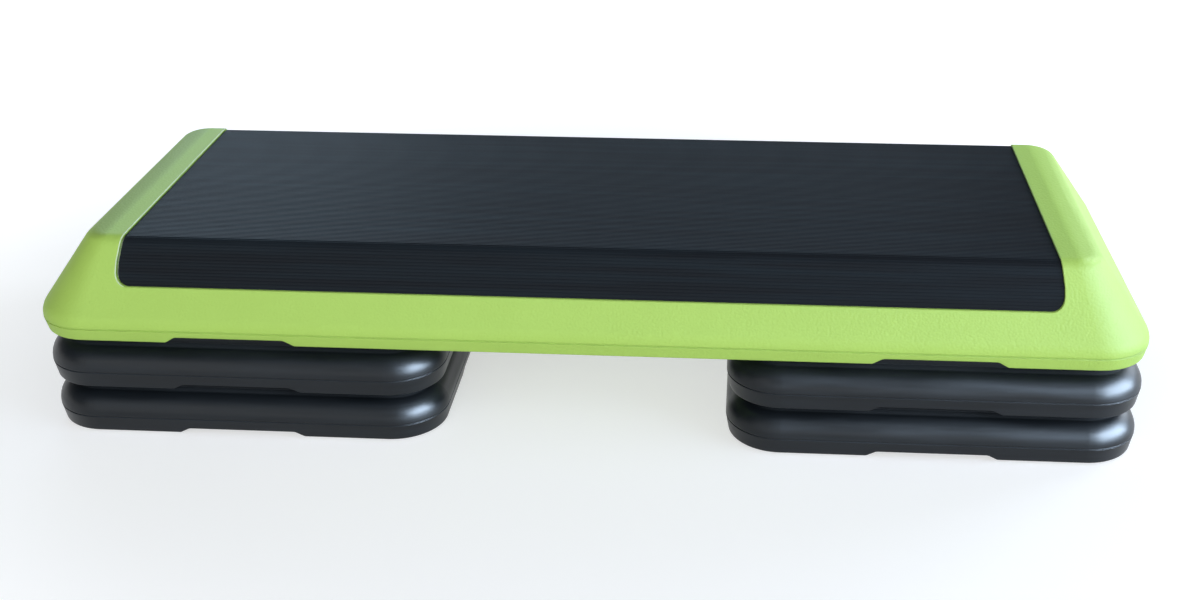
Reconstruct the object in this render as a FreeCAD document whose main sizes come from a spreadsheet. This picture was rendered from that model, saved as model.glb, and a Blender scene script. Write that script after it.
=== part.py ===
import FreeCAD, Part
import math
import os
import types
import Sketcher

# Step platform: a bevelled deck with a rubber tread on two stacks of nesting risers.
# Millimetres. Origin on the floor under the middle of the deck, X along the deck, Z up.
# Deck and riser heights are counted from the plane of their own feet.

SIZES = (
    ("deck_length", 1090, "deck over the seam, along X"),
    ("deck_width", 410, "deck over the seam, along Y"),
    ("deck_height", 100, "foot plane to top of deck"),
    ("deck_corner_radius", 54, "plan corner at the seam"),
    ("deck_top_radius", 26, "plan corner of the top"),
    ("deck_land", 7.5, "upright strip between the seam and the bevels"),
    ("deck_end_run", 52.5, "how far the end bevels lean in"),
    ("deck_side_run", 43, "how far the long bevels lean in"),
    ("deck_edge_radius", 15, "rounding between top and bevels"),
    ("deck_seam_rise", 5.5, "socket ceiling up to the seam"),
    ("deck_rim_clearance", 5.5, "foot plane up to the deck rim"),
    ("riser_inset", 3, "riser seam in from the long side of the deck"),
    ("riser_pitch", 50, "height that one riser adds"),
    ("riser_corner_radius", 54, "plan corner at the seam"),
    ("riser_seam_rise", 6, "socket ceiling up to the seam"),
    ("riser_rim_clearance", 2, "foot plane up to the riser rim"),
    ("stack_gap", 9, "rim down to the shoulder of the riser below"),
    ("seam_land", 0.5, "upright strip between seam and shoulder"),
    ("seam_height", 1.2, "height of the seam groove"),
    ("seam_depth", 0.9, "depth of the seam groove"),
    ("band_draft", 3, "how far the rim band leans in"),
    ("rim_edge_radius", 2, "rounding of the rim's outer lower edge"),
    ("rim_width", 16, "width of the rim that a riser stands in"),
    ("ridge_width", 16, "ridge between a deck socket and the middle recess"),
    ("socket_radius", 38, "plan corner of a socket"),
    ("nest_clearance", 5, "play between plug and socket wall"),
    ("nest_gap", 2, "plug top to the ceiling above it"),
    ("plug_draft", 1.5, "how far the plug walls lean in"),
    ("plug_edge_radius", 4, "rounding round the plug top"),
    ("wall_thickness", 3.5, "moulded wall"),
    ("notch_width", 108, "finger notch at its top"),
    ("notch_flank_run", 11, "how far each notch flank spreads to the rim"),
    ("deck_notch_height", 7, "finger notch in the deck rim"),
    ("riser_notch_height", 6, "finger notch in a riser rim"),
    ("notch_corner_radius", 8, "rounding of the notch's upper corners"),
    ("mat_length", 904, "tread mat on the top"),
    ("mat_flare", 3.5, "how far the mat widens on the bevels, each end"),
    ("mat_flare_drop", 22, "drop over which the mat widens"),
    ("mat_drop", 42, "top of the deck down to the mat's lower edge"),
    ("mat_corner_radius", 12, "lower corners of the mat"),
    ("mat_thickness", 3, "rubber"),
    ("mat_lip", 1.6, "mat lies this far below the deck skin"),
    ("mat_clearance", 0.4, "mat edge to recess wall"),
    ("foot_inset", 43, "foot centre in from the socket walls"),
    ("foot_height", 14, "foot plane up to the socket ceiling"),
    ("foot_top_radius", 18, "foot at the ceiling"),
    ("foot_base_radius", 16, "foot on the floor"),
    ("foot_edge_bevel", 1.5, "bevel of the foot's lower edge"),
    ("stem_radius", 6, "neck of the foot, through the wall"),
    ("stem_clearance", 0.1, "neck to its hole"),
    ("barb_radius", 8, "barb behind the wall"),
    ("barb_tip_radius", 4, "tip of the barb"),
    ("barb_height", 7, "barb"),
    ("barb_clearance", 0.3, "barb above the wall"),
    ("cup_clearance", 1.5, "foot to the wall of its cup"),
    ("riser_dimple_radius", 18, "mouth of a tack-off cone under a riser"),
    ("deck_dimple_radius", 32, "mouth of a tack-off cone under the deck"),
    ("dimple_tip_radius", 9, "tip of a tack-off cone"),
    ("cut_overrun", 2, "how far cuts run past a face"),
)

# How much of the deck's upright strip the rounding above it takes up, at the ends
LAND_ROUND_SHARE = 0.86

FILE_FOLDER = "parts"
ENDS = (("left", -1), ("right", 1))
LEVELS = (("lower", 0), ("upper", 1))
CORNERS = (
    ("front_outer", 1, -1),
    ("front_inner", -1, -1),
    ("back_outer", 1, 1),
    ("back_inner", -1, 1),
)


class Size:
    """A length with its value and the sheet formula that gives it."""

    def __init__(self, formula, value):
        self.formula = formula
        self.value = value

    def joined(self, other, sign, value):
        right = other.formula if isinstance(other, Size) else str(other)
        return Size(f"({self.formula} {sign} {right})", value)

    def __add__(self, other):
        return self.joined(other, "+", self.value + plain(other))

    def __sub__(self, other):
        return self.joined(other, "-", self.value - plain(other))

    def __mul__(self, other):
        return self.joined(other, "*", self.value * plain(other))

    def __truediv__(self, other):
        return self.joined(other, "/", self.value / plain(other))

    def __neg__(self):
        return Size(f"(-{self.formula})", -self.value)


def plain(number):
    return number.value if isinstance(number, Size) else number


def hypotenuse(a, b):
    return Size(f"sqrt({a.formula}^2 + {b.formula}^2)", math.hypot(a.value, b.value))


def make_sheet(doc):
    sheet = doc.addObject("Spreadsheet::Sheet", "Sizes")
    for row, (alias, value, meaning) in enumerate(SIZES, 1):
        sheet.set(f"A{row}", alias)
        sheet.set(f"B{row}", str(value))
        sheet.set(f"C{row}", meaning)
        sheet.setAlias(f"B{row}", alias)
    doc.recompute()
    return types.SimpleNamespace(
        **{alias: Size(f"Sizes.{alias}", float(value)) for alias, value, _ in SIZES}
    )


doc = FreeCAD.newDocument("step_platform")
s = make_sheet(doc)
ZERO = Size("0", 0.0)

# Places that follow from the driving sizes
riser_side = s.deck_width - s.riser_inset * 2
stack_x = (s.deck_length - riser_side) / 2
deck_base = s.riser_pitch * 2
deck_seam = s.foot_height + s.deck_seam_rise
bevel_foot = deck_seam + s.deck_land
deck_rise = s.deck_height - bevel_foot
side_slope = hypotenuse(s.deck_side_run, deck_rise) / deck_rise
land_reach = (hypotenuse(s.deck_end_run, deck_rise) + deck_rise) / s.deck_end_run
land_radius = s.deck_land * land_reach * LAND_ROUND_SHARE
mat_recess = s.mat_lip + s.mat_thickness
socket_side = riser_side - (s.band_draft + s.rim_width) * 2
middle_length = (stack_x - socket_side / 2 - s.ridge_width) * 2
foot_offset = socket_side / 2 - s.foot_inset
dimple_offset = foot_offset / 2
plug_side = socket_side - s.nest_clearance * 2
plug_radius = s.socket_radius - s.nest_clearance
riser_seam = s.foot_height + s.riser_seam_rise
shoulder_top = s.riser_pitch + s.riser_rim_clearance - s.stack_gap
shoulder_radius = shoulder_top - riser_seam - s.seam_land
plug_top = s.riser_pitch + s.foot_height - s.nest_gap
cup_radius = s.foot_top_radius + s.cup_clearance
hole_radius = s.stem_radius + s.stem_clearance
core_floor = s.foot_height + s.wall_thickness


# Helpers for sketches and features


def bind(obj, prop, size):
    obj.setExpression(prop, size.formula)


def place(obj, prop, x=ZERO, y=ZERO, z=ZERO):
    for axis, size in (("x", x), ("y", y), ("z", z)):
        bind(obj, f"{prop}.Base.{axis}", size)


def new_body(name):
    return doc.addObject("PartDesign::Body", name)


def new_sketch(body, plane, name, x=ZERO, y=ZERO, z=ZERO):
    sketch = body.newObject("Sketcher::SketchObject", name)
    support = next(item for item in body.Origin.OriginFeatures if item.Role == plane)
    sketch.AttachmentSupport = [(support, "")]
    sketch.MapMode = "FlatFace"
    place(sketch, "AttachmentOffset", x, y, z)
    return sketch


def dimension(sketch, name, size, *constraint):
    index = sketch.addConstraint(Sketcher.Constraint(*constraint, size.value))
    sketch.renameConstraint(index, name)
    bind(sketch, f"Constraints.{name}", size)


def rounded_rectangle(sketch, length, width, radius):
    """A rectangle about the sketch's origin, sides and corner arcs in turn."""
    half_x, half_y, corner = length.value / 2, width.value / 2, radius.value
    up = FreeCAD.Vector(0, 0, 1)
    turns = ((1, -1), (1, 1), (-1, 1), (-1, -1))
    for turn, (x, y) in enumerate(turns):
        centre = FreeCAD.Vector(x * (half_x - corner), y * (half_y - corner), 0)
        start = (turn - 1) * math.pi / 2
        arc = Part.ArcOfCircle(Part.Circle(centre, up, corner), start, start + math.pi / 2)
        previous_x, previous_y = turns[turn - 1]
        before = FreeCAD.Vector(
            previous_x * (half_x - corner) if y == previous_y else x * half_x,
            previous_y * (half_y - corner) if x == previous_x else y * half_y,
            0,
        )
        sketch.addGeometry(Part.LineSegment(before, arc.StartPoint), False)
        sketch.addGeometry(arc, False)
    for item in range(8):
        sketch.addConstraint(Sketcher.Constraint("Tangent", item, 2, (item + 1) % 8, 1))
    for line, direction in ((0, "Horizontal"), (2, "Vertical"), (4, "Horizontal"), (6, "Vertical")):
        sketch.addConstraint(Sketcher.Constraint(direction, line))
    for arc in (3, 5, 7):
        sketch.addConstraint(Sketcher.Constraint("Equal", 1, arc))
    sketch.addConstraint(Sketcher.Constraint("Symmetric", 1, 3, 5, 3, -1, 1))
    dimension(sketch, "outline_length", length, "DistanceX", 6, 1, 2, 1)
    dimension(sketch, "outline_width", width, "DistanceY", 0, 1, 4, 1)
    dimension(sketch, "corner_radius", radius, "Radius", 1)


def polygon(sketch, corners):
    """Straight sides through corners given as pairs of sizes."""
    points = [FreeCAD.Vector(x.value, y.value, 0) for x, y in corners]
    count = len(points)
    for item, point in enumerate(points):
        sketch.addGeometry(Part.LineSegment(point, points[(item + 1) % count]), False)
    for item, (x, y) in enumerate(corners):
        sketch.addConstraint(Sketcher.Constraint("Coincident", item, 2, (item + 1) % count, 1))
        dimension(sketch, f"corner_{item}_across", x, "DistanceX", -1, 1, item, 1)
        dimension(sketch, f"corner_{item}_up", y, "DistanceY", -1, 1, item, 1)


def mirrored_corners(half_outline):
    """Completes the right half of an outline, listed from bottom to top, with its left half."""
    return list(half_outline) + [(-x, y) for x, y in reversed(half_outline)]


def four_circles(sketch, offset, radius):
    """One circle in each quadrant, at the same offset along both axes."""
    for x, y in ((1, 1), (-1, 1), (-1, -1), (1, -1)):
        centre = FreeCAD.Vector(x * offset.value, y * offset.value, 0)
        sketch.addGeometry(Part.Circle(centre, FreeCAD.Vector(0, 0, 1), radius.value), False)
    for circle in (1, 2, 3):
        sketch.addConstraint(Sketcher.Constraint("Equal", 0, circle))
    sketch.addConstraint(Sketcher.Constraint("Symmetric", 0, 3, 1, 3, -2))
    sketch.addConstraint(Sketcher.Constraint("Symmetric", 0, 3, 2, 3, -1, 1))
    sketch.addConstraint(Sketcher.Constraint("Symmetric", 0, 3, 3, 3, -1))
    dimension(sketch, "offset_across", offset, "DistanceX", -1, 1, 0, 3)
    dimension(sketch, "offset_up", offset, "DistanceY", -1, 1, 0, 3)
    dimension(sketch, "circle_radius", radius, "Radius", 0)


def pad(body, sketch, name, length, both_ways=False):
    feature = body.newObject("PartDesign::Pad", name)
    feature.Profile = sketch
    feature.SideType = "Symmetric" if both_ways else "One side"
    bind(feature, "Length", length)
    return feature


def pocket(body, sketch, name, length, upward=False):
    """Cuts down from the sketch, or up from it."""
    feature = body.newObject("PartDesign::Pocket", name)
    feature.Profile = sketch
    feature.Reversed = upward
    bind(feature, "Length", length)
    return removes_material(feature)


def through_pocket(body, sketch, name):
    feature = body.newObject("PartDesign::Pocket", name)
    feature.Profile = sketch
    feature.Type = "ThroughAll"
    feature.SideType = "Symmetric"
    return removes_material(feature)


def removes_material(feature):
    doc.recompute()
    if feature.Shape.Volume >= feature.BaseFeature.Shape.Volume:
        raise RuntimeError(f"{feature.Name} cuts nothing")
    return feature


def loft(body, lower, upper, name):
    feature = body.newObject("PartDesign::AdditiveLoft", name)
    feature.Profile = lower
    feature.Sections = [upper]
    feature.Ruled = True
    return feature


def outline_loft(body, name, *sections):
    """A drafted block through rounded outlines, each given as z, length, width and radius."""
    sketches = []
    for step, (z, length, width, radius) in enumerate(sections):
        sketch = new_sketch(body, "XY_Plane", f"{name}_outline_{step}", z=z)
        rounded_rectangle(sketch, length, width, radius)
        sketches.append(sketch)
    return loft(body, *sketches, name)


def outline_block(body, name, z, height, length, width, radius):
    sketch = new_sketch(body, "XY_Plane", f"{name}_outline", z=z)
    rounded_rectangle(sketch, length, width, radius)
    return pad(body, sketch, name, height)


def round_edges(body, name, radius, chosen, kind="Fillet", measure="Radius"):
    """Rounds or bevels the edges of the body's last feature that the test picks."""
    doc.recompute()
    base = body.Tip
    edges = [f"Edge{i}" for i, edge in enumerate(base.Shape.Edges, 1) if chosen(edge)]
    feature = body.newObject(f"PartDesign::{kind}", name)
    feature.Base = (base, edges)
    bind(feature, measure, radius)
    doc.recompute()
    return feature


def level_edge(z):
    """Picks edges that lie in the level plane at z."""
    near = s.seam_depth.value / 10
    return lambda edge: max(abs(edge.BoundBox.ZMin - z.value), abs(edge.BoundBox.ZMax - z.value)) < near


def boolean(kind, name, base, tool):
    feature = doc.addObject(f"Part::{kind}", name)
    feature.Base = base
    feature.Tool = tool
    feature.Refine = True
    return feature


def fused(name, shapes):
    feature = doc.addObject("Part::MultiFuse", name)
    feature.Shapes = shapes
    return feature


def copy_at(name, master, x=ZERO, y=ZERO, z=ZERO):
    feature = doc.addObject("Part::Compound", name)
    feature.Links = [master]
    place(feature, "Placement", x, y, z)
    return feature


def cut_notch(body, name, plane, rim, height, x=ZERO):
    """A finger notch through the rim on both sides of the body, wider at its mouth."""
    top = rim + height
    mouth = rim - s.cut_overrun
    half_top = s.notch_width / 2
    half_mouth = half_top + s.notch_flank_run * (height + s.cut_overrun) / height
    sketch = new_sketch(body, plane, f"{name}_outline", x=x)
    polygon(sketch, mirrored_corners([(half_mouth, mouth), (half_top, top)]))
    through_pocket(body, sketch, name)
    is_level = level_edge(top)
    near = s.cut_overrun.value

    def is_corner(edge):
        middle = edge.BoundBox.Center
        across = middle.x - x.value if plane == "XZ_Plane" else middle.y
        return is_level(edge) and abs(abs(across) - half_top.value) < near

    return round_edges(body, f"{name}_corners", s.notch_corner_radius, is_corner)


def cut_socket(body, name, length, width, x=ZERO):
    """A flat-ceilinged recess in the underside."""
    sketch = new_sketch(body, "XY_Plane", f"{name}_outline", x=x, z=s.foot_height)
    rounded_rectangle(sketch, length, width, s.socket_radius)
    return pocket(body, sketch, name, s.foot_height)


def cut_stem_holes(body, name, x=ZERO):
    """Holes in a socket ceiling for the necks of four feet."""
    sketch = new_sketch(body, "XY_Plane", f"{name}_circles", x=x, z=s.foot_height)
    four_circles(sketch, foot_offset, hole_radius)
    return pocket(body, sketch, name, s.wall_thickness + s.cut_overrun, upward=True)


def rim_band(body, name, seam, rim, length, width, radius):
    """The seam groove and the rim band that leans in below it."""
    groove_floor = seam - s.seam_height
    outline_block(
        body,
        f"{name}_seam",
        groove_floor,
        s.seam_height,
        length - s.seam_depth * 2,
        width - s.seam_depth * 2,
        radius - s.seam_depth,
    )
    draft = s.band_draft
    outline_loft(
        body,
        f"{name}_band",
        (groove_floor, length, width, radius),
        (rim, length - draft * 2, width - draft * 2, radius - draft),
    )
    return round_edges(body, f"{name}_rim_round", s.rim_edge_radius, level_edge(rim))


def tack_cones(name, places, mouth_radius, tip_height, grow):
    """Cones pressed up from the ceiling at the given places, thickened by grow."""
    cones = []
    for number, (x, y) in enumerate(places):
        cone = doc.addObject("Part::Cone", f"{name}_{number}")
        bind(cone, "Radius1", mouth_radius + grow)
        bind(cone, "Radius2", s.dimple_tip_radius + grow)
        bind(cone, "Height", tip_height - s.foot_height)
        place(cone, "Placement", x, y, s.foot_height)
        cones.append(cone)
    return fused(name, cones)


def hollowed(name, form, core, places, mouth_radius, tip_height):
    """Form less the core, with the two walls tacked together at cones."""
    walls = tack_cones(f"{name}_tack_walls", places, mouth_radius, tip_height, s.wall_thickness)
    dimples = tack_cones(f"{name}_dimples", places, mouth_radius, tip_height, ZERO)
    cavity = boolean("Cut", f"{name}_cavity", core, walls)
    shell = boolean("Cut", f"{name}_hollow", form, cavity)
    return boolean("Cut", name, shell, dimples)


# Riser


def riser_form():
    body = new_body("riser_form")
    side, corner = riser_side, s.riser_corner_radius
    outline_block(body, "riser_shoulder", riser_seam, shoulder_top - riser_seam, side, side, corner)
    round_edges(body, "riser_shoulder_round", shoulder_radius, level_edge(shoulder_top))
    rim_band(body, "riser", riser_seam, s.riser_rim_clearance, side, side, corner)
    top_side = plug_side - s.plug_draft * 2
    outline_loft(
        body,
        "riser_plug",
        (riser_seam, plug_side, plug_side, plug_radius),
        (plug_top, top_side, top_side, plug_radius - s.plug_draft),
    )
    round_edges(body, "riser_plug_round", s.plug_edge_radius, level_edge(plug_top))
    cut_socket(body, "riser_socket", socket_side, socket_side)
    for plane in ("XZ_Plane", "YZ_Plane"):
        name = f"riser_notch_{plane[:2].lower()}"
        cut_notch(body, name, plane, s.riser_rim_clearance, s.riser_notch_height)
    cups = new_sketch(body, "XY_Plane", "riser_cup_circles", z=plug_top)
    four_circles(cups, foot_offset, cup_radius)
    pocket(body, cups, "riser_cups", plug_top - s.riser_pitch)
    cut_stem_holes(body, "riser_stem_holes")
    return body


def riser_core():
    """The hollow inside a riser, clear of the cups in its top."""
    body = new_body("riser_core")
    inset = s.wall_thickness + s.seam_depth
    side, corner = riser_side - inset * 2, s.riser_corner_radius - inset
    core_shoulder = shoulder_top - s.wall_thickness
    outline_block(body, "core_shoulder", core_floor, core_shoulder - core_floor, side, side, corner)
    round_edges(body, "core_round", shoulder_radius - s.wall_thickness, level_edge(core_shoulder))
    plug_inset = s.wall_thickness + s.plug_draft
    plug, radius = plug_side - plug_inset * 2, plug_radius - s.wall_thickness
    core_top = plug_top - s.wall_thickness
    outline_block(body, "core_plug", core_floor, core_top - core_floor, plug, plug, radius)
    cups = new_sketch(body, "XY_Plane", "core_cup_circles", z=core_top)
    four_circles(cups, foot_offset, cup_radius + s.wall_thickness)
    pocket(body, cups, "core_cups", core_top - s.riser_pitch + s.wall_thickness)
    return body


def make_riser():
    out = dimple_offset
    places = [(ZERO, ZERO), (out, out), (-out, out), (-out, -out), (out, -out)]
    tip = plug_top - s.wall_thickness
    return hollowed("riser", riser_form(), riser_core(), places, s.riser_dimple_radius, tip)


# Deck


def deck_form():
    body = new_body("deck_form")
    length, width, corner = s.deck_length, s.deck_width, s.deck_corner_radius
    rim_band(body, "deck", deck_seam, s.deck_rim_clearance, length, width, corner)
    outline_block(body, "deck_land", deck_seam, s.deck_land, length, width, corner)
    outline_loft(
        body,
        "deck_crown",
        (bevel_foot, length, width, corner),
        (s.deck_height, length - s.deck_end_run * 2, width - s.deck_side_run * 2, s.deck_top_radius),
    )
    round_edges(body, "deck_land_round", land_radius, level_edge(bevel_foot))
    round_edges(body, "deck_top_round", s.deck_edge_radius, level_edge(s.deck_height))
    cut_socket(body, "deck_middle_recess", middle_length, socket_side)
    for end, side in ENDS:
        x = stack_x * side
        cut_socket(body, f"deck_{end}_socket", socket_side, socket_side, x)
        cut_stem_holes(body, f"deck_{end}_stem_holes", x)
        notch = f"deck_{end}_notch"
        cut_notch(body, notch, "XZ_Plane", s.deck_rim_clearance, s.deck_notch_height, x)
    cut_notch(body, "deck_end_notch", "YZ_Plane", s.deck_rim_clearance, s.deck_notch_height)
    return body


def deck_core():
    """The hollow inside the deck, clear of the mat recess."""
    body = new_body("deck_core")
    inset = (s.wall_thickness + mat_recess) * side_slope
    top = s.deck_height - mat_recess - s.wall_thickness
    lean = (top - bevel_foot) / deck_rise
    length, width = s.deck_length - inset * 2, s.deck_width - inset * 2
    corner = s.deck_corner_radius - inset
    outline_block(body, "deck_core_land", core_floor, bevel_foot - core_floor, length, width, corner)
    outline_loft(
        body,
        "deck_core_crown",
        (bevel_foot, length, width, corner),
        (top, length - s.deck_end_run * lean * 2, width - s.deck_side_run * lean * 2, s.deck_top_radius),
    )
    return body


def crown_prism(name, depth):
    """The deck's cross-section sunk by depth into its top and long bevels, run along X."""
    body = new_body(name)
    sketch = new_sketch(body, "YZ_Plane", f"{name}_section")
    top = s.deck_height - depth
    foot = s.deck_width / 2 - side_slope * depth
    crease = foot - s.deck_side_run * (deck_rise - depth) / deck_rise
    polygon(sketch, mirrored_corners([(foot, bevel_foot), (crease, top)]))
    pad(body, sketch, f"{name}_run", s.deck_length, both_ways=True)
    is_level = level_edge(top)
    long_edge = s.deck_width.value
    round_edges(
        body,
        f"{name}_crease",
        s.deck_edge_radius - depth,
        lambda edge: is_level(edge) and edge.BoundBox.XLength > long_edge,
    )
    return body


def mat_prism(name, grow):
    """The mat's outline seen from the front, grown by a clearance and run through the deck."""
    body = new_body(name)
    sketch = new_sketch(body, "XZ_Plane", f"{name}_outline")
    narrow = s.mat_length / 2 + grow
    wide = narrow + s.mat_flare
    bottom = s.deck_height - s.mat_drop - grow
    outline = [
        (wide, bottom),
        (wide, s.deck_height - s.mat_flare_drop),
        (narrow, s.deck_height),
        (narrow, s.deck_height + s.cut_overrun),
    ]
    polygon(sketch, mirrored_corners(outline))
    pad(body, sketch, f"{name}_run", s.deck_width, both_ways=True)
    is_level = level_edge(bottom)
    far = s.mat_length.value / 2
    round_edges(
        body,
        f"{name}_corners",
        s.mat_corner_radius + grow,
        lambda edge: is_level(edge) and min(abs(edge.BoundBox.XMin), abs(edge.BoundBox.XMax)) > far,
    )
    return body


def make_deck_and_mat():
    recess_floor = crown_prism("recess_floor", mat_recess)
    recess = boolean("Cut", "mat_recess", mat_prism("recess_outline", s.mat_clearance), recess_floor)
    sheet_rubber = boolean("Cut", "mat_blank", crown_prism("mat_face", s.mat_lip), recess_floor)
    mat = boolean("Common", "tread_mat", sheet_rubber, mat_prism("mat_outline", ZERO))
    place(mat, "Placement", z=deck_base)

    out = dimple_offset
    places = []
    for _, side in ENDS:
        for x, y in ((out, out), (-out, out), (-out, -out), (out, -out)):
            places.append((stack_x * side + x, y))
    places += [(-middle_length / 4, ZERO), (middle_length / 4, ZERO)]
    tip = s.deck_height - mat_recess - s.wall_thickness
    shell = hollowed("deck_body", deck_form(), deck_core(), places, s.deck_dimple_radius, tip)
    deck = boolean("Cut", "deck_shell", shell, recess)
    place(deck, "Placement", z=deck_base)
    return [deck, mat]


# Foot


def make_foot():
    """A push-in rubber foot: tapered pad, neck through the wall and barb behind it."""
    body = new_body("foot")
    sketch = new_sketch(body, "XZ_Plane", "foot_profile")
    barb_foot = core_floor + s.barb_clearance
    profile = [
        (ZERO, ZERO),
        (s.foot_base_radius, ZERO),
        (s.foot_top_radius, s.foot_height),
        (s.stem_radius, s.foot_height),
        (s.stem_radius, barb_foot),
        (s.barb_radius, barb_foot),
        (s.barb_tip_radius, barb_foot + s.barb_height),
        (ZERO, barb_foot + s.barb_height),
    ]
    polygon(sketch, profile)
    turned = body.newObject("PartDesign::Revolution", "foot_turned")
    turned.Profile = sketch
    turned.ReferenceAxis = (sketch, ["V_Axis"])
    round_edges(body, "foot_bevel", s.foot_edge_bevel, level_edge(ZERO), "Chamfer", "Size")
    return body


def feet_at(prefix, foot, x, z):
    feet = []
    for corner, outward, away in CORNERS:
        along = foot_offset * (outward if x.value > 0 else -outward)
        feet.append(copy_at(f"{prefix}_foot_{corner}", foot, x + along, foot_offset * away, z))
    return feet


def build():
    pieces = make_deck_and_mat()
    riser = make_riser()
    foot = make_foot()
    for end, side in ENDS:
        x = stack_x * side
        for level, number in LEVELS:
            z = s.riser_pitch * number
            pieces.append(copy_at(f"{end}_{level}_riser", riser, x, ZERO, z))
            pieces += feet_at(f"{end}_{level}", foot, x, z)
        pieces += feet_at(f"{end}_deck", foot, x, deck_base)
    doc.recompute()
    return pieces


def write_parts(pieces):
    for obj in doc.Objects:
        if "Invalid" in obj.State or "Error" in obj.State:
            raise RuntimeError(f"{obj.Name} failed: {obj.State}")
    for piece in pieces:
        if piece.Shape.isNull() or not piece.Shape.isValid() or not piece.Shape.Solids:
            raise RuntimeError(f"{piece.Label} has no sound solid")
    os.makedirs(FILE_FOLDER, exist_ok=True)
    for piece in pieces:
        piece.Shape.exportStep(f"{FILE_FOLDER}/{piece.Label}.step")


write_parts(build())
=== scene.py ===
import math
from typing import NamedTuple

import bmesh
import bpy
from bpy.props import FloatProperty, FloatVectorProperty, IntProperty, PointerProperty
from mathutils import Matrix, Vector


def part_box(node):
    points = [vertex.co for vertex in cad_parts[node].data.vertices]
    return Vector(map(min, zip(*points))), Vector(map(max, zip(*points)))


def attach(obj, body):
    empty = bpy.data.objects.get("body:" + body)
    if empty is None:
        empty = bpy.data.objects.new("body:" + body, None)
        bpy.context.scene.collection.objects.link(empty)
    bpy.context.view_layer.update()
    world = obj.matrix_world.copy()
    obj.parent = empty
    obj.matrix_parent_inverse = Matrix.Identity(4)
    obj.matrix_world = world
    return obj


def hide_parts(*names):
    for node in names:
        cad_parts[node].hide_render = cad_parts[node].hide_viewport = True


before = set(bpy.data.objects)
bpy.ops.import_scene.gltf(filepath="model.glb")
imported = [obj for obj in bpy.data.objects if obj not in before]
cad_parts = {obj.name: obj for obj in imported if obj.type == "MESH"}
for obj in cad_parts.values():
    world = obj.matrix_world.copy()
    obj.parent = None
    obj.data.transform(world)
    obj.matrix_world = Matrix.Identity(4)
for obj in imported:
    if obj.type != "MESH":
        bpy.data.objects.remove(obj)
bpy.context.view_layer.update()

bl_info = {
    "name": "Step platform",
    "version": (1, 0, 0),
    "blender": (4, 5, 0),
    "location": "View3D > Sidebar > Step platform",
    "description": "Finishes a step platform on nesting risers and lights it for a picture",
    "category": "Object",
}

MM = 0.001
PICTURE_WIDTH = 1200
PICTURE_HEIGHT = 600

DECK_NODE = "deck_shell"
MAT_NODE = "tread_mat"
RISER_WORD = "_riser"
FOOT_WORD = "_foot_"


def linear(hex_colour):
    """Scene-linear RGBA of a hex colour, by the sRGB curve."""
    channels = [int(hex_colour[i : i + 2], 16) / 255 for i in (1, 3, 5)]
    return [c / 12.92 if c <= 0.04045 else ((c + 0.055) / 1.055) ** 2.4 for c in channels] + [1.0]


def colour(name, description, hex_colour):
    """A colour setting, written as sRGB."""
    return FloatVectorProperty(
        name=name,
        description=description,
        default=linear(hex_colour),
        size=4,
        subtype="COLOR",
        min=0,
        max=1,
    )


def length(name, description, millimetres):
    """A length setting, written in millimetres."""
    return FloatProperty(
        name=name, description=description, default=millimetres * MM, min=0, unit="LENGTH", precision=5
    )


def angle(name, description, degrees):
    """An angle setting, written in degrees."""
    return FloatProperty(name=name, description=description, default=math.radians(degrees), subtype="ANGLE")


def factor(name, description, value):
    """A setting from 0 to 1."""
    return FloatProperty(name=name, description=description, default=value, min=0, max=1, subtype="FACTOR")


def level(name, description, value):
    """A strength setting that may pass 1."""
    return FloatProperty(name=name, description=description, default=value, min=0)


def pixels(name, description, count):
    """A setting in pixels of the picture."""
    return FloatProperty(name=name, description=description, default=count, subtype="PIXEL")


class StepDeckSettings(bpy.types.PropertyGroup):
    """Finish of the moulded deck."""

    skin: colour("Deck colour", "Lime polyethylene of the deck", "#BDE167")
    shade: colour("Deck shade", "Darker cloudiness in the moulded skin", "#B5D95F")
    grain: length("Pebble size", "Width of one pebble of the moulded grain", 2.4)
    grain_depth: length("Pebble depth", "Height of the moulded grain", 0.3)
    cloud: length("Cloud size", "Width of the faint cloudiness of the colour", 70)
    edge: length("Edge round", "Rounding of the moulding's sharp edges", 1.8)
    end_soft: length("End soft run", "Run over which the top bends down into the end bevels", 24)
    end_drop: length("End drop", "Height that the soft run seems to lose", 6.5)
    end_run: length("End run", "How far the end bevels lean in", 52.5)
    roughness: factor("Roughness", "Micro roughness of the moulded skin", 0.58)
    gloss: factor("Gloss", "Specular level of the pebbled skin", 0.45)
    # Painted highlight: a pale colour put on the lip round the tread, where light glints off its edge
    lip_highlight: colour("Scuff colour", "Pale scuff on the lip where the tread was pressed in", "#F4FFE8")


class StepTreadSettings(bpy.types.PropertyGroup):
    """Shape and finish of the ribbed tread."""

    rubber: colour("Rubber colour", "Charcoal rubber of the tread", "#1E2125")
    dust: colour("Dust colour", "Pale dust rubbed into the ribs", "#252E34")
    lean: angle("Bevel lean", "Lean of the deck's long bevels from upright", 30.5)
    bend: length("Bend radius", "Outside radius where the mat folds over the edge", 13.4)
    thickness: length("Thickness", "Rubber from rib tops to its back", 3)
    rib_pitch: length("Rib pitch", "Distance from rib to rib", 3.2)
    rib_depth: length("Rib depth", "Depth of the grooves between ribs", 0.25)
    flare: length("Flare", "How far the mat widens on the bevels, each end", 3.5)
    flare_drop: length("Flare drop", "Drop over which the mat widens", 22)
    lip: length("Lip", "How far the mat lies below the deck's skin", 1.6)
    corner: length("Corner radius", "Lower corners of the mat", 12)
    trim: length("End trim", "How far the rubber stops short of the left lip", 1.5)
    columns: IntProperty(name="Columns", description="Divisions along the ribs", default=24, min=2)
    dust_width: length("Dust streak width", "Width of one streak of dust across the ribs", 9)
    dust_length: length("Dust streak length", "Length of one streak of dust along the ribs", 260)
    grain: length("Grain", "Width of the grain on the rubber", 0.9)
    roughness: factor("Roughness", "Micro roughness of the rubber", 0.45)
    gloss: factor("Gloss", "Specular level of the dull rubber", 0.057)


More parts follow.
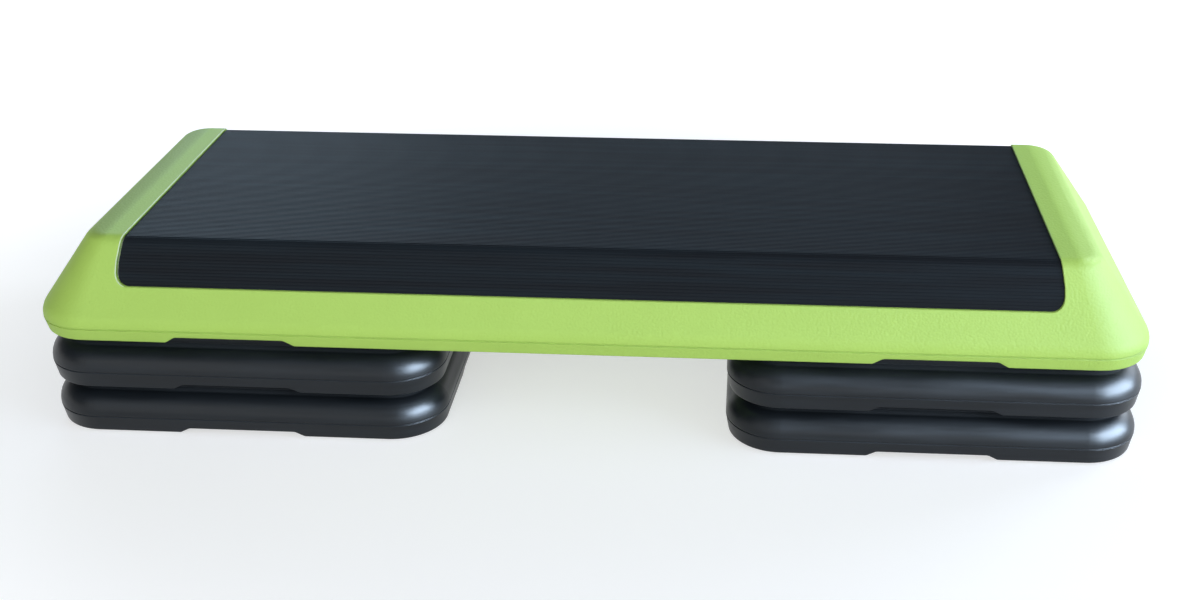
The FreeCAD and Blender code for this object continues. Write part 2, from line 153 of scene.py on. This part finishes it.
class StepRiserSettings(bpy.types.PropertyGroup):
    """Finish of the moulded risers."""

    skin: colour("Riser colour", "Black polyethylene of the risers", "#0F1317")
    shade: colour("Riser shade", "Greyer flow streaks in the moulded skin", "#181D22")
    grain: length("Grain", "Width of the fine moulded grain", 1.6)
    grain_depth: length("Grain depth", "Height of the moulded grain", 0.06)
    streak_width: length("Streak width", "Height of one flow streak", 7)
    streak_length: length("Streak length", "Length of one flow streak", 90)
    edge: length("Edge round", "Rounding of the moulding's sharp edges", 1.4)
    roughness: factor("Roughness", "Micro roughness of the moulded skin", 0.36)
    top_roughness: factor("Top roughness", "Micro roughness of the flat tops, dulled for grip", 0.95)
    gloss: factor("Gloss", "Specular level of the black moulding", 0.26)


class StepFootSettings(bpy.types.PropertyGroup):
    """Finish of the rubber feet."""

    rubber: colour("Foot colour", "Dark rubber of the feet", "#2A2A2B")
    grain: length("Grain", "Width of the grain on the rubber", 1.2)
    roughness: factor("Roughness", "Micro roughness of the rubber", 0.7)


class StepStageSettings(bpy.types.PropertyGroup):
    """Floor, surroundings and camera."""

    floor: colour("Floor colour", "Pale studio paper", "#C6C6C6")
    floor_radius: length("Floor radius", "Radius of the round sheet of paper", 12000)
    cove: length("Cove radius", "Bend from the floor to the backdrop", 1500)
    backdrop: length("Backdrop height", "Height of the backdrop's rim", 2400)
    glow_near: length("Glow start", "Distance from the origin where the paper's own light grows", 450)
    glow_far: length("Glow end", "Distance from the origin where the paper is white", 1300)
    glow_near_level: level("Glow near", "Strength of the paper's own light near the object", 1.0)
    glow_far_level: level("Glow far", "Strength of the paper's own light where it is white", 1.74)
    surround: colour("Surround colour", "Cool light from all round", "#F2F6FF")
    surround_level: level("Surround level", "Strength of the light from all round", 0.06)
    focal_pixels: pixels("Focal length", "Focal length of the camera", 1512.7)
    centre_x: pixels("Centre across", "Picture's optical centre, from the left", 643.2)
    centre_y: pixels("Centre down", "Picture's optical centre, from the top", 290.6)
    eye: FloatVectorProperty(
        name="Eye", description="Place of the camera", default=(0.15447, -1.47829, 0.78764), unit="LENGTH"
    )
    yaw: angle("Yaw", "Turn of the camera from straight ahead, to the right", -4.16)
    pitch: angle("Pitch", "Tilt of the camera below level", 25.53)
    roll: angle("Roll", "Turn of the picture", -0.23)


def add(tree, kind, sockets=None, **settings):
    """Adds a node, sets its settings, and fills or links its sockets."""
    node = tree.nodes.new(kind)
    for name, value in settings.items():
        setattr(node, name, value)
    for key, value in (sockets or {}).items():
        if isinstance(value, bpy.types.NodeSocket):
            tree.links.new(value, node.inputs[key])
        else:
            node.inputs[key].default_value = value
    return node


def new_material(name):
    """An empty material and its node tree."""
    material = bpy.data.materials.new(name)
    material.use_nodes = True
    material.node_tree.nodes.clear()
    return material, material.node_tree


def finish_material(tree, shader_socket):
    """Puts a shader on the surface."""
    add(tree, "ShaderNodeOutputMaterial", {"Surface": shader_socket})


def per_metre(size):
    """Texture scale that gives features of that size in metres."""
    return 1 / size


EDGE_SAMPLES = 6
POLYETHYLENE_IOR = 1.54
RUBBER_IOR = 1.52


def grained(tree, place, size, bump, detail=2.0):
    """Normal of a skin with an even fine grain, from the grain's size and the sockets of its bump."""
    grain = add(tree, "ShaderNodeTexNoise", {"Vector": place, "Scale": per_metre(size), "Detail": detail})
    return add(tree, "ShaderNodeBump", {**bump, "Height": grain.outputs["Fac"]}).outputs["Normal"]


def streaked(tree, place, scales, detail):
    """Share of streak at each point: noise drawn out by its three scales."""
    stretched = add(tree, "ShaderNodeMapping", {"Vector": place, "Scale": scales}).outputs["Vector"]
    noise = add(tree, "ShaderNodeTexNoise", {"Vector": stretched, "Scale": 1.0, "Detail": detail})
    return noise.outputs["Fac"]


# The soft bend runs on past the solid's own edge by this many edge roundings
BEND_OVERRUN = 2


def end_bend(tree, along, settings):
    """Share of the end drop that is lost, from the flat top out to the end bevels."""
    from_middle = add(tree, "ShaderNodeMath", {0: along}, operation="ABSOLUTE")
    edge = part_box(DECK_NODE)[1].x - settings.end_run
    return add(
        tree,
        "ShaderNodeMapRange",
        {
            "Value": from_middle.outputs["Value"],
            "From Min": edge - settings.end_soft,
            "From Max": edge + settings.edge * BEND_OVERRUN,
        },
        interpolation_type="SMOOTHSTEP",
    ).outputs["Result"]


# Dot product of the true and the rounded normal where an edge's painted highlight starts, and where it is
# full
HIGHLIGHT_START = 0.997
HIGHLIGHT_FULL = 0.93
# Share of the mat's left half where the painted highlight starts to grow, and the painted highlight that
# the rest of the lip has
HIGHLIGHT_GROWS_FROM = 0.9
HIGHLIGHT_ELSEWHERE = 0.1


def painted_lip_highlight(tree, axes, normal, soft_normal):
    """Share of painted highlight: pale colour on the sharp lip round the tread, most at the left end."""
    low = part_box(MAT_NODE)[0]
    likeness = add(tree, "ShaderNodeVectorMath", {0: normal, 1: soft_normal}, operation="DOT_PRODUCT")
    sharp = add(
        tree,
        "ShaderNodeMapRange",
        {"Value": likeness.outputs["Value"], "From Min": HIGHLIGHT_START, "From Max": HIGHLIGHT_FULL},
    )
    above = add(tree, "ShaderNodeMath", {0: axes.outputs["Z"], 1: low.z}, operation="GREATER_THAN")
    at_end = add(
        tree,
        "ShaderNodeMapRange",
        {
            "Value": axes.outputs["X"],
            "From Min": low.x * HIGHLIGHT_GROWS_FROM,
            "From Max": low.x,
            "To Min": HIGHLIGHT_ELSEWHERE,
        },
    )
    lip = add(
        tree,
        "ShaderNodeMath",
        {0: sharp.outputs["Result"], 1: above.outputs["Value"]},
        operation="MULTIPLY",
    )
    return add(
        tree,
        "ShaderNodeMath",
        {0: lip.outputs["Value"], 1: at_end.outputs["Result"]},
        operation="MULTIPLY",
    ).outputs["Value"]


# Upward part of the normal where the deck's bevels end, and where its top is flat
BEVEL_NORMAL = 0.75
DECK_TOP_NORMAL = 0.95
CLOUD_DETAIL = 3.0
PEBBLE_SMOOTHNESS = 0.6
PEBBLE_STRENGTH = 0.8
# A finer, shallower grain lies over the pebbles
FINE_GRAINS_PER_PEBBLE = 3
FINE_DEPTH_SHARE = 0.5
FINE_STRENGTH = 0.35


def lime_polyethylene(settings):
    """Blow-moulded polyethylene, pebbled by the mould: a soft sheen broken up by small round bumps."""
    material, tree = new_material("lime_polyethylene_pebbled")
    place = add(tree, "ShaderNodeTexCoord").outputs["Object"]
    axes = add(tree, "ShaderNodeSeparateXYZ", {"Vector": place})
    normal = add(tree, "ShaderNodeNewGeometry").outputs["Normal"]
    upward = add(tree, "ShaderNodeSeparateXYZ", {"Vector": normal}).outputs["Z"]
    edge = add(tree, "ShaderNodeBevel", {"Radius": settings.edge}, samples=EDGE_SAMPLES)
    soft_normal = edge.outputs["Normal"]
    cloud = add(
        tree,
        "ShaderNodeTexNoise",
        {"Vector": place, "Scale": per_metre(settings.cloud), "Detail": CLOUD_DETAIL},
    )
    tint = add(
        tree,
        "ShaderNodeMix",
        {"Factor": cloud.outputs["Fac"], "A": settings.skin, "B": settings.shade},
        data_type="RGBA",
    )
    # Painted highlight: the pale colour is mixed onto the lip round the tread, most at the left end
    highlighted = add(
        tree,
        "ShaderNodeMix",
        {
            "Factor": painted_lip_highlight(tree, axes, normal, soft_normal),
            "A": tint.outputs["Result"],
            "B": settings.lip_highlight,
        },
        data_type="RGBA",
    )
    on_top = add(
        tree, "ShaderNodeMapRange", {"Value": upward, "From Min": BEVEL_NORMAL, "From Max": DECK_TOP_NORMAL}
    )
    bent = add(
        tree,
        "ShaderNodeBump",
        {
            "Strength": on_top.outputs["Result"],
            "Distance": settings.end_drop,
            "Height": end_bend(tree, axes.outputs["X"], settings),
            "Normal": soft_normal,
        },
        invert=True,
    )
    pebbles = add(
        tree,
        "ShaderNodeTexVoronoi",
        {"Vector": place, "Scale": per_metre(settings.grain), "Smoothness": PEBBLE_SMOOTHNESS},
        feature="SMOOTH_F1",
    )
    pebbled = add(
        tree,
        "ShaderNodeBump",
        {
            "Strength": PEBBLE_STRENGTH,
            "Distance": settings.grain_depth,
            "Height": pebbles.outputs["Distance"],
            "Normal": bent.outputs["Normal"],
        },
        invert=True,
    )
    fine_bump = {
        "Strength": FINE_STRENGTH,
        "Distance": settings.grain_depth * FINE_DEPTH_SHARE,
        "Normal": pebbled.outputs["Normal"],
    }
    shader = add(
        tree,
        "ShaderNodeBsdfPrincipled",
        {
            "Base Color": highlighted.outputs["Result"],
            "Roughness": settings.roughness,
            "IOR": POLYETHYLENE_IOR,
            "Specular IOR Level": settings.gloss,
            "Normal": grained(tree, place, settings.grain / FINE_GRAINS_PER_PEBBLE, fine_bump),
        },
    )
    finish_material(tree, shader.outputs["BSDF"])
    return material


# Upward part of the normal where the risers' round shoulders end, and where their tops are flat
SHOULDER_NORMAL = 0.95
RISER_TOP_NORMAL = 0.99
FLOW_DETAIL = 4.0
# Noise that counts as no streak and as full streak, and what each does to the roughness
FLOW_START, FLOW_FULL = 0.3, 0.7
FLOW_ROUGHNESS_START, FLOW_ROUGHNESS_FULL = 0.85, 1.2
RISER_GRAIN_STRENGTH = 0.4


def black_polyethylene(settings):
    """Blow-moulded black polyethylene: smooth enough to shine along its rounds, with faint flow streaks.

    The real grain is too fine to show, so it is drawn coarser.
    """
    material, tree = new_material("black_polyethylene_satin")
    place = add(tree, "ShaderNodeTexCoord").outputs["Object"]
    normal = add(tree, "ShaderNodeNewGeometry").outputs["Normal"]
    upward = add(tree, "ShaderNodeSeparateXYZ", {"Vector": normal}).outputs["Z"]
    edge = add(tree, "ShaderNodeBevel", {"Radius": settings.edge}, samples=EDGE_SAMPLES)
    wide, tall = per_metre(settings.streak_length), per_metre(settings.streak_width)
    flow = streaked(tree, place, (wide, wide, tall), FLOW_DETAIL)
    tint = add(
        tree, "ShaderNodeMix", {"Factor": flow, "A": settings.skin, "B": settings.shade}, data_type="RGBA"
    )
    satin = add(
        tree,
        "ShaderNodeMapRange",
        {
            "Value": flow,
            "From Min": FLOW_START,
            "From Max": FLOW_FULL,
            "To Min": settings.roughness * FLOW_ROUGHNESS_START,
            "To Max": settings.roughness * FLOW_ROUGHNESS_FULL,
        },
    )
    dulled = add(
        tree,
        "ShaderNodeMapRange",
        {
            "Value": upward,
            "From Min": SHOULDER_NORMAL,
            "From Max": RISER_TOP_NORMAL,
            "To Min": satin.outputs["Result"],
            "To Max": settings.top_roughness,
        },
    )
    grain_bump = {
        "Strength": RISER_GRAIN_STRENGTH,
        "Distance": settings.grain_depth,
        "Normal": edge.outputs["Normal"],
    }
    shader = add(
        tree,
        "ShaderNodeBsdfPrincipled",
        {
            "Base Color": tint.outputs["Result"],
            "Roughness": dulled.outputs["Result"],
            "IOR": POLYETHYLENE_IOR,
            "Specular IOR Level": settings.gloss,
            "Normal": grained(tree, place, settings.grain, grain_bump),
        },
    )
    finish_material(tree, shader.outputs["BSDF"])
    return material


RUBBER_GRAIN_STRENGTH = 0.3
RUBBER_GRAIN_DEPTH_SHARE = 1 / 8


def rubber_grain(size):
    """Sockets of the bump that a grain of that size gives rubber."""
    return {"Strength": RUBBER_GRAIN_STRENGTH, "Distance": size * RUBBER_GRAIN_DEPTH_SHARE}


DUST_DETAIL = 5.0
# Noise where dust starts and where it is thickest, and the share of dust there
DUST_START, DUST_FULL = 0.4, 0.75
DUST_COVER = 0.7


def ribbed_rubber(settings):
    """Calendered charcoal rubber: dull, a little bluish, with pale dust in streaks along the ribs.

    The real grain is too fine to show, so it is drawn coarser.
    """
    material, tree = new_material("charcoal_rubber_ribbed")
    place = add(tree, "ShaderNodeTexCoord").outputs["Object"]
    along, across = per_metre(settings.dust_length), per_metre(settings.dust_width)
    dusty = add(
        tree,
        "ShaderNodeMapRange",
        {
            "Value": streaked(tree, place, (along, across, across), DUST_DETAIL),
            "From Min": DUST_START,
            "From Max": DUST_FULL,
            "To Max": DUST_COVER,
        },
    )
    tint = add(
        tree,
        "ShaderNodeMix",
        {"Factor": dusty.outputs["Result"], "A": settings.rubber, "B": settings.dust},
        data_type="RGBA",
    )
    shader = add(
        tree,
        "ShaderNodeBsdfPrincipled",
        {
            "Base Color": tint.outputs["Result"],
            "Roughness": settings.roughness,
            "IOR": RUBBER_IOR,
            "Specular IOR Level": settings.gloss,
            "Normal": grained(tree, place, settings.grain, rubber_grain(settings.grain)),
        },
    )
    finish_material(tree, shader.outputs["BSDF"])
    return material


FOOT_GRAIN_DETAIL = 3.0


def foot_rubber(settings):
    """Moulded dark rubber: dull, with a fine dusty grain.

    The real grain is too fine to show, so it is drawn coarser.
    """
    material, tree = new_material("dark_rubber_moulded")
    place = add(tree, "ShaderNodeTexCoord").outputs["Object"]
    grain_bump = rubber_grain(settings.grain)
    shader = add(
        tree,
        "ShaderNodeBsdfPrincipled",
        {
            "Base Color": settings.rubber,
            "Roughness": settings.roughness,
            "IOR": RUBBER_IOR,
            "Normal": grained(tree, place, settings.grain, grain_bump, FOOT_GRAIN_DETAIL),
        },
    )
    finish_material(tree, shader.outputs["BSDF"])
    return material


def dress(nodes, material):
    """Gives CAD nodes a material, keeping their shape."""
    for name in nodes:
        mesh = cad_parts[name].data
        mesh.materials.clear()
        mesh.materials.append(material)


def nodes_with(word):
    """Names of the CAD nodes that hold a word."""
    return sorted(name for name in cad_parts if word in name)


def link_new(name, data):
    """A new object in the scene."""
    piece = bpy.data.objects.new(name, data)
    bpy.context.scene.collection.objects.link(piece)
    return piece


class MatPath:
    """The mat's rib-top line across the deck, from its front lower edge to its back one."""

    def __init__(self, settings):
        low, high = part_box(MAT_NODE)
        self.edge_z, self.top = low.z, high.z
        self.bend = settings.bend
        self.turn = math.pi / 2 - settings.lean
        drop = self.top - self.edge_z
        crease = high.y - drop * math.tan(settings.lean)
        reach = self.bend * math.tan(self.turn / 2)
        self.flat = crease - reach
        self.arc = self.bend * self.turn
        self.slope = drop / math.cos(settings.lean) - reach

    @property
    def half(self):
        """Length of the line from the middle to one edge."""
        return self.flat + self.arc + self.slope

    def at(self, distance):
        """Point and outward normal in Y and Z at a distance from the middle, along the rib tops."""
        side = -1 if distance < 0 else 1
        run = abs(distance)
        if run <= self.flat:
            return Vector((side * run, self.top)), Vector((0, 1))
        run -= self.flat
        swing = min(run / self.bend, self.turn)
        normal = Vector((math.sin(swing), math.cos(swing)))
        point = Vector((self.flat, self.top - self.bend)) + self.bend * normal
        beyond = max(run - self.arc, 0)
        point += beyond * Vector((math.cos(swing), -math.sin(swing)))
        return Vector((side * point.x, point.y)), Vector((side * normal.x, normal.y))


# One rib's outline: shares of the pitch, and the share of the groove's depth at each
RIB_STEP_SHARES = (0.0, 0.12, 0.3, 0.5, 0.62, 0.8)
RIB_DROP_SHARES = (0.25, 0.0, 0.0, 0.25, 1.0, 1.0)


def tread_mesh(settings):
    """A closed ribbed sheet that follows the deck's top and long bevels."""
    path = MatPath(settings)
    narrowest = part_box(MAT_NODE)[1].x - settings.flare
    skin_top = path.top + settings.lip

    def reach(z):
        """Half length of the mat at height z."""
        flare = min(max((skin_top - z) / settings.flare_drop, 0), 1) * settings.flare
        below_corner = max(settings.corner - (z - path.edge_z), 0)
        round_cut = settings.corner - math.sqrt(max(settings.corner**2 - below_corner**2, 0))
        return narrowest + flare - round_cut

    ribs = int(2 * path.half / settings.rib_pitch)
    pitch = 2 * path.half / ribs
    stations = [
        (-path.half + (rib + share) * pitch, drop * settings.rib_depth)
        for rib in range(ribs)
        for share, drop in zip(RIB_STEP_SHARES, RIB_DROP_SHARES)
    ]
    stations.append((path.half, RIB_DROP_SHARES[0] * settings.rib_depth))
    shares = [column / settings.columns for column in range(settings.columns + 1)]
    bm = bmesh.new()

    def row(distance, depth):
        """Points from the left end to the right one, sunk below the rib tops."""
        point, normal = path.at(distance)
        right = reach(point.y)
        left = settings.trim - right
        sunk = point - depth * normal
        return [bm.verts.new((left + (right - left) * share, sunk.x, sunk.y)) for share in shares]

    def skin(rows):
        """Faces between each row and the next."""
        for lower, upper in zip(rows, rows[1:]):
            for corners in zip(lower, lower[1:], upper[1:], upper):
                bm.faces.new(corners)

    face_rows = [row(distance, drop) for distance, drop in stations]
    back_rows = [row(distance, settings.thickness) for distance, _ in stations]
    skin(face_rows)
    skin(back_rows)
    for edge in (0, -1):
        skin([face_rows[edge], back_rows[edge]])
        skin([[face[edge] for face in face_rows], [back[edge] for back in back_rows]])
    bmesh.ops.recalc_face_normals(bm, faces=bm.faces)
    mesh = bpy.data.meshes.new("ribbed_tread")
    bm.to_mesh(mesh)
    bm.free()
    return mesh


class STEP_OT_deck(bpy.types.Operator):
    """Finish the moulded deck"""

    bl_idname = "step.deck"
    bl_label = "Deck"

    def execute(self, context):
        dress([DECK_NODE], lime_polyethylene(context.scene.step_deck))
        return {"FINISHED"}


class STEP_OT_tread(bpy.types.Operator):
    """Make the ribbed rubber tread"""

    bl_idname = "step.tread"
    bl_label = "Tread"

    def execute(self, context):
        settings = context.scene.step_tread
        tread = link_new("ribbed_tread", tread_mesh(settings))
        tread.data.materials.append(ribbed_rubber(settings))
        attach(tread, "deck")
        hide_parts(MAT_NODE)
        return {"FINISHED"}


class STEP_OT_risers(bpy.types.Operator):
    """Finish the nesting risers"""

    bl_idname = "step.risers"
    bl_label = "Risers"

    def execute(self, context):
        dress(nodes_with(RISER_WORD), black_polyethylene(context.scene.step_riser))
        return {"FINISHED"}


class STEP_OT_feet(bpy.types.Operator):
    """Finish the push-in feet"""

    bl_idname = "step.feet"
    bl_label = "Feet"

    def execute(self, context):
        dress(nodes_with(FOOT_WORD), foot_rubber(context.scene.step_foot))
        return {"FINISHED"}


def floor_material(settings):
    """Matt studio paper: it takes the shadows, and whitens away from the object as a lit sheet does."""
    material, tree = new_material("studio_paper_matt")
    paper = add(tree, "ShaderNodeBsdfDiffuse", {"Color": settings.floor})
    path = add(tree, "ShaderNodeLightPath")
    direct = add(
        tree,
        "ShaderNodeMath",
        {0: path.outputs["Is Camera Ray"], 1: path.outputs["Is Glossy Ray"]},
        operation="MAXIMUM",
    )
    seen = add(
        tree,
        "ShaderNodeMath",
        {0: direct.outputs["Value"], 1: path.outputs["Is Transmission Ray"]},
        operation="MAXIMUM",
    )
    place = add(tree, "ShaderNodeTexCoord").outputs["Object"]
    away = add(tree, "ShaderNodeVectorMath", {0: place}, operation="LENGTH")
    glow_level = add(
        tree,
        "ShaderNodeMapRange",
        {
            "Value": away.outputs["Value"],
            "From Min": settings.glow_near,
            "From Max": settings.glow_far,
            "To Min": settings.glow_near_level,
            "To Max": settings.glow_far_level,
        },
        interpolation_type="SMOOTHSTEP",
    )
    lift = add(
        tree,
        "ShaderNodeMath",
        {0: seen.outputs["Value"], 1: glow_level.outputs["Result"]},
        operation="MULTIPLY",
    )
    glow = add(tree, "ShaderNodeEmission", {"Color": settings.floor, "Strength": lift.outputs["Value"]})
    both = add(tree, "ShaderNodeAddShader", {0: paper.outputs["BSDF"], 1: glow.outputs["Emission"]})
    finish_material(tree, both.outputs["Shader"])
    return material


FLOOR_SIDES = 96
COVE_STEPS = 8


def make_floor(settings):
    """A round sheet of studio paper whose rim curves up, so that no level view looks past it."""
    radius, cove = settings.floor_radius, settings.cove
    turns = [step / COVE_STEPS * math.pi / 2 for step in range(COVE_STEPS + 1)]
    profile = [(radius - cove + cove * math.sin(turn), cove - cove * math.cos(turn)) for turn in turns]
    profile.append((radius, settings.backdrop))
    bearings = [side / FLOOR_SIDES * math.tau for side in range(FLOOR_SIDES)]
    bm = bmesh.new()
    rings = [
        [bm.verts.new((out * math.cos(bearing), out * math.sin(bearing), up)) for bearing in bearings]
        for out, up in profile
    ]
    bm.faces.new(rings[0])
    for lower, upper in zip(rings, rings[1:]):
        for corners in zip(lower, lower[1:] + lower[:1], upper[1:] + upper[:1], upper):
            bm.faces.new(corners)
    mesh = bpy.data.meshes.new("studio_floor")
    bm.to_mesh(mesh)
    bm.free()
    mesh.materials.append(floor_material(settings))
    link_new("studio_floor", mesh)


def make_world(settings):
    """Weak even light from all round, which keeps the deepest shadows from going black."""
    world = bpy.data.worlds.new("studio_surround")
    bpy.context.scene.world = world
    world.use_nodes = True
    tree = world.node_tree
    tree.nodes.clear()
    surround = {"Color": settings.surround, "Strength": settings.surround_level}
    shell = add(tree, "ShaderNodeBackground", surround)
    add(tree, "ShaderNodeOutputWorld", {"Surface": shell.outputs["Background"]})


BOTH, SHEEN, WASH = "both", "sheen", "wash"
ALL_NODES = ""


class SoftBox(NamedTuple):
    """A studio soft box, in metres and watts.

    It gives a sheen, a wash or both, and may be kept to the nodes that hold a word.
    """

    name: str
    place: tuple
    aim: tuple
    width: float
    height: float
    power: float
    tint: str
    gives: str = BOTH
    kept_to: str = ALL_NODES


# Most of the pane's power is kept to the risers: on the deck and the mat it would glare from behind
SOFT_BOXES = (
    SoftBox(
        "riser_pane", (4.2, -1.8, 1.78), (0.2, 0.0, 0.12), 5.8, 3.2, 1850.0, "#D0E7FF", SHEEN, RISER_WORD
    ),
    SoftBox("window_pane", (4.3, -1.84, 1.82), (0.2, 0.0, 0.12), 5.9, 3.3, 600.0, "#D0E7FF", SHEEN),
    SoftBox("window_right", (2.3, -0.85, 1.0), (0.2, 0.0, 0.12), 2.0, 1.2, 44.0, "#D6E6FF"),
    SoftBox("front_wall", (0.4, -3.2, 1.9), (0.0, 0.0, 0.5), 6.0, 4.0, 60.0, "#F1FAFF"),
    SoftBox("front_fill", (-0.3, -2.6, 1.2), (-0.2, 0.0, 0.12), 1.2, 1.0, 17.0, "#FFFFFF", WASH),
    SoftBox("front_left_fill", (-1.9, -2.4, 1.3), (-0.1, 0.0, 0.12), 1.4, 1.2, 7.0, "#FFFFFF"),
    SoftBox("back_left_sheen", (-1.5, 2.4, 1.15), (-0.2, 0.0, 0.2), 1.4, 0.9, 14.5, "#CDE8FF"),
    SoftBox("back_wall", (-0.5, 2.7, 1.1), (-0.1, 0.0, 0.2), 2.8, 1.2, 17.0, "#CDE8FF"),
    SoftBox("back_right_fill", (2.3, 1.3, 1.0), (0.4, 0.0, 0.15), 1.2, 1.0, 34.0, "#E6F2FF"),
)


def shine_on(lamp, nodes):
    """Keeps a lamp to some of the nodes, as flags do in a studio."""
    lit = bpy.data.collections.new(f"{lamp.name}_lights")
    for name in nodes:
        lit.objects.link(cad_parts[name])
    lamp.light_linking.receiver_collection = lit


def hang(box):
    """Puts a soft box in its place, turned to its aim."""
    light = bpy.data.lights.new(box.name, "AREA")
    light.shape = "RECTANGLE"
    light.size = box.width
    light.size_y = box.height
    light.energy = box.power
    light.color = linear(box.tint)[:3]
    lamp = link_new(box.name, light)
    lamp.location = box.place
    lamp.rotation_mode = "QUATERNION"
    lamp.rotation_quaternion = (Vector(box.aim) - Vector(box.place)).to_track_quat("-Z", "Y")
    lamp.visible_diffuse = box.gives != SHEEN
    lamp.visible_glossy = box.gives != WASH
    if box.kept_to != ALL_NODES:
        shine_on(lamp, nodes_with(box.kept_to))


def make_camera(settings):
    """A camera with the picture's own viewpoint and optical centre."""
    data = bpy.data.cameras.new("view")
    data.sensor_fit = "HORIZONTAL"
    data.lens = settings.focal_pixels * data.sensor_width / PICTURE_WIDTH
    data.shift_x = (PICTURE_WIDTH / 2 - settings.centre_x) / PICTURE_WIDTH
    data.shift_y = (settings.centre_y - PICTURE_HEIGHT / 2) / PICTURE_WIDTH
    camera = link_new("view", data)
    yaw, pitch = settings.yaw, settings.pitch
    ahead = Vector((math.sin(yaw) * math.cos(pitch), math.cos(yaw) * math.cos(pitch), -math.sin(pitch)))
    right = Vector((math.cos(yaw), -math.sin(yaw), 0))
    facing = Matrix((right, right.cross(ahead), -ahead)).transposed()
    turned = facing @ Matrix.Rotation(settings.roll, 3, "Z")
    camera.matrix_world = Matrix.Translation(settings.eye) @ turned.to_4x4()
    bpy.context.scene.camera = camera


class STEP_OT_stage(bpy.types.Operator):
    """Set the floor, the lights and the camera"""

    bl_idname = "step.stage"
    bl_label = "Stage"

    def execute(self, context):
        settings = context.scene.step_stage
        context.scene.view_settings.view_transform = "Standard"
        make_floor(settings)
        make_world(settings)
        for box in SOFT_BOXES:
            hang(box)
        make_camera(settings)
        return {"FINISHED"}


class STEP_PT_panel(bpy.types.Panel):
    """Lists the platform's pieces and the stage"""

    bl_idname = "STEP_PT_panel"
    bl_label = "Step platform"
    bl_space_type = "VIEW_3D"
    bl_region_type = "UI"
    bl_category = "Step platform"

    def draw(self, context):
        for operator in OPERATORS:
            self.layout.operator(operator.bl_idname)


SETTINGS = {
    "step_deck": StepDeckSettings,
    "step_tread": StepTreadSettings,
    "step_riser": StepRiserSettings,
    "step_foot": StepFootSettings,
    "step_stage": StepStageSettings,
}
OPERATORS = (STEP_OT_deck, STEP_OT_tread, STEP_OT_risers, STEP_OT_feet, STEP_OT_stage)
CLASSES = (*SETTINGS.values(), *OPERATORS, STEP_PT_panel)


def register():
    for cls in CLASSES:
        bpy.utils.register_class(cls)
    for name, group in SETTINGS.items():
        setattr(bpy.types.Scene, name, PointerProperty(type=group))


def unregister():
    for name in SETTINGS:
        delattr(bpy.types.Scene, name)
    for cls in reversed(CLASSES):
        bpy.utils.unregister_class(cls)


def main():
    register()
    bpy.ops.step.deck()
    bpy.ops.step.tread()
    bpy.ops.step.risers()
    bpy.ops.step.feet()
    bpy.ops.step.stage()


if __name__ == "__main__":
    main()
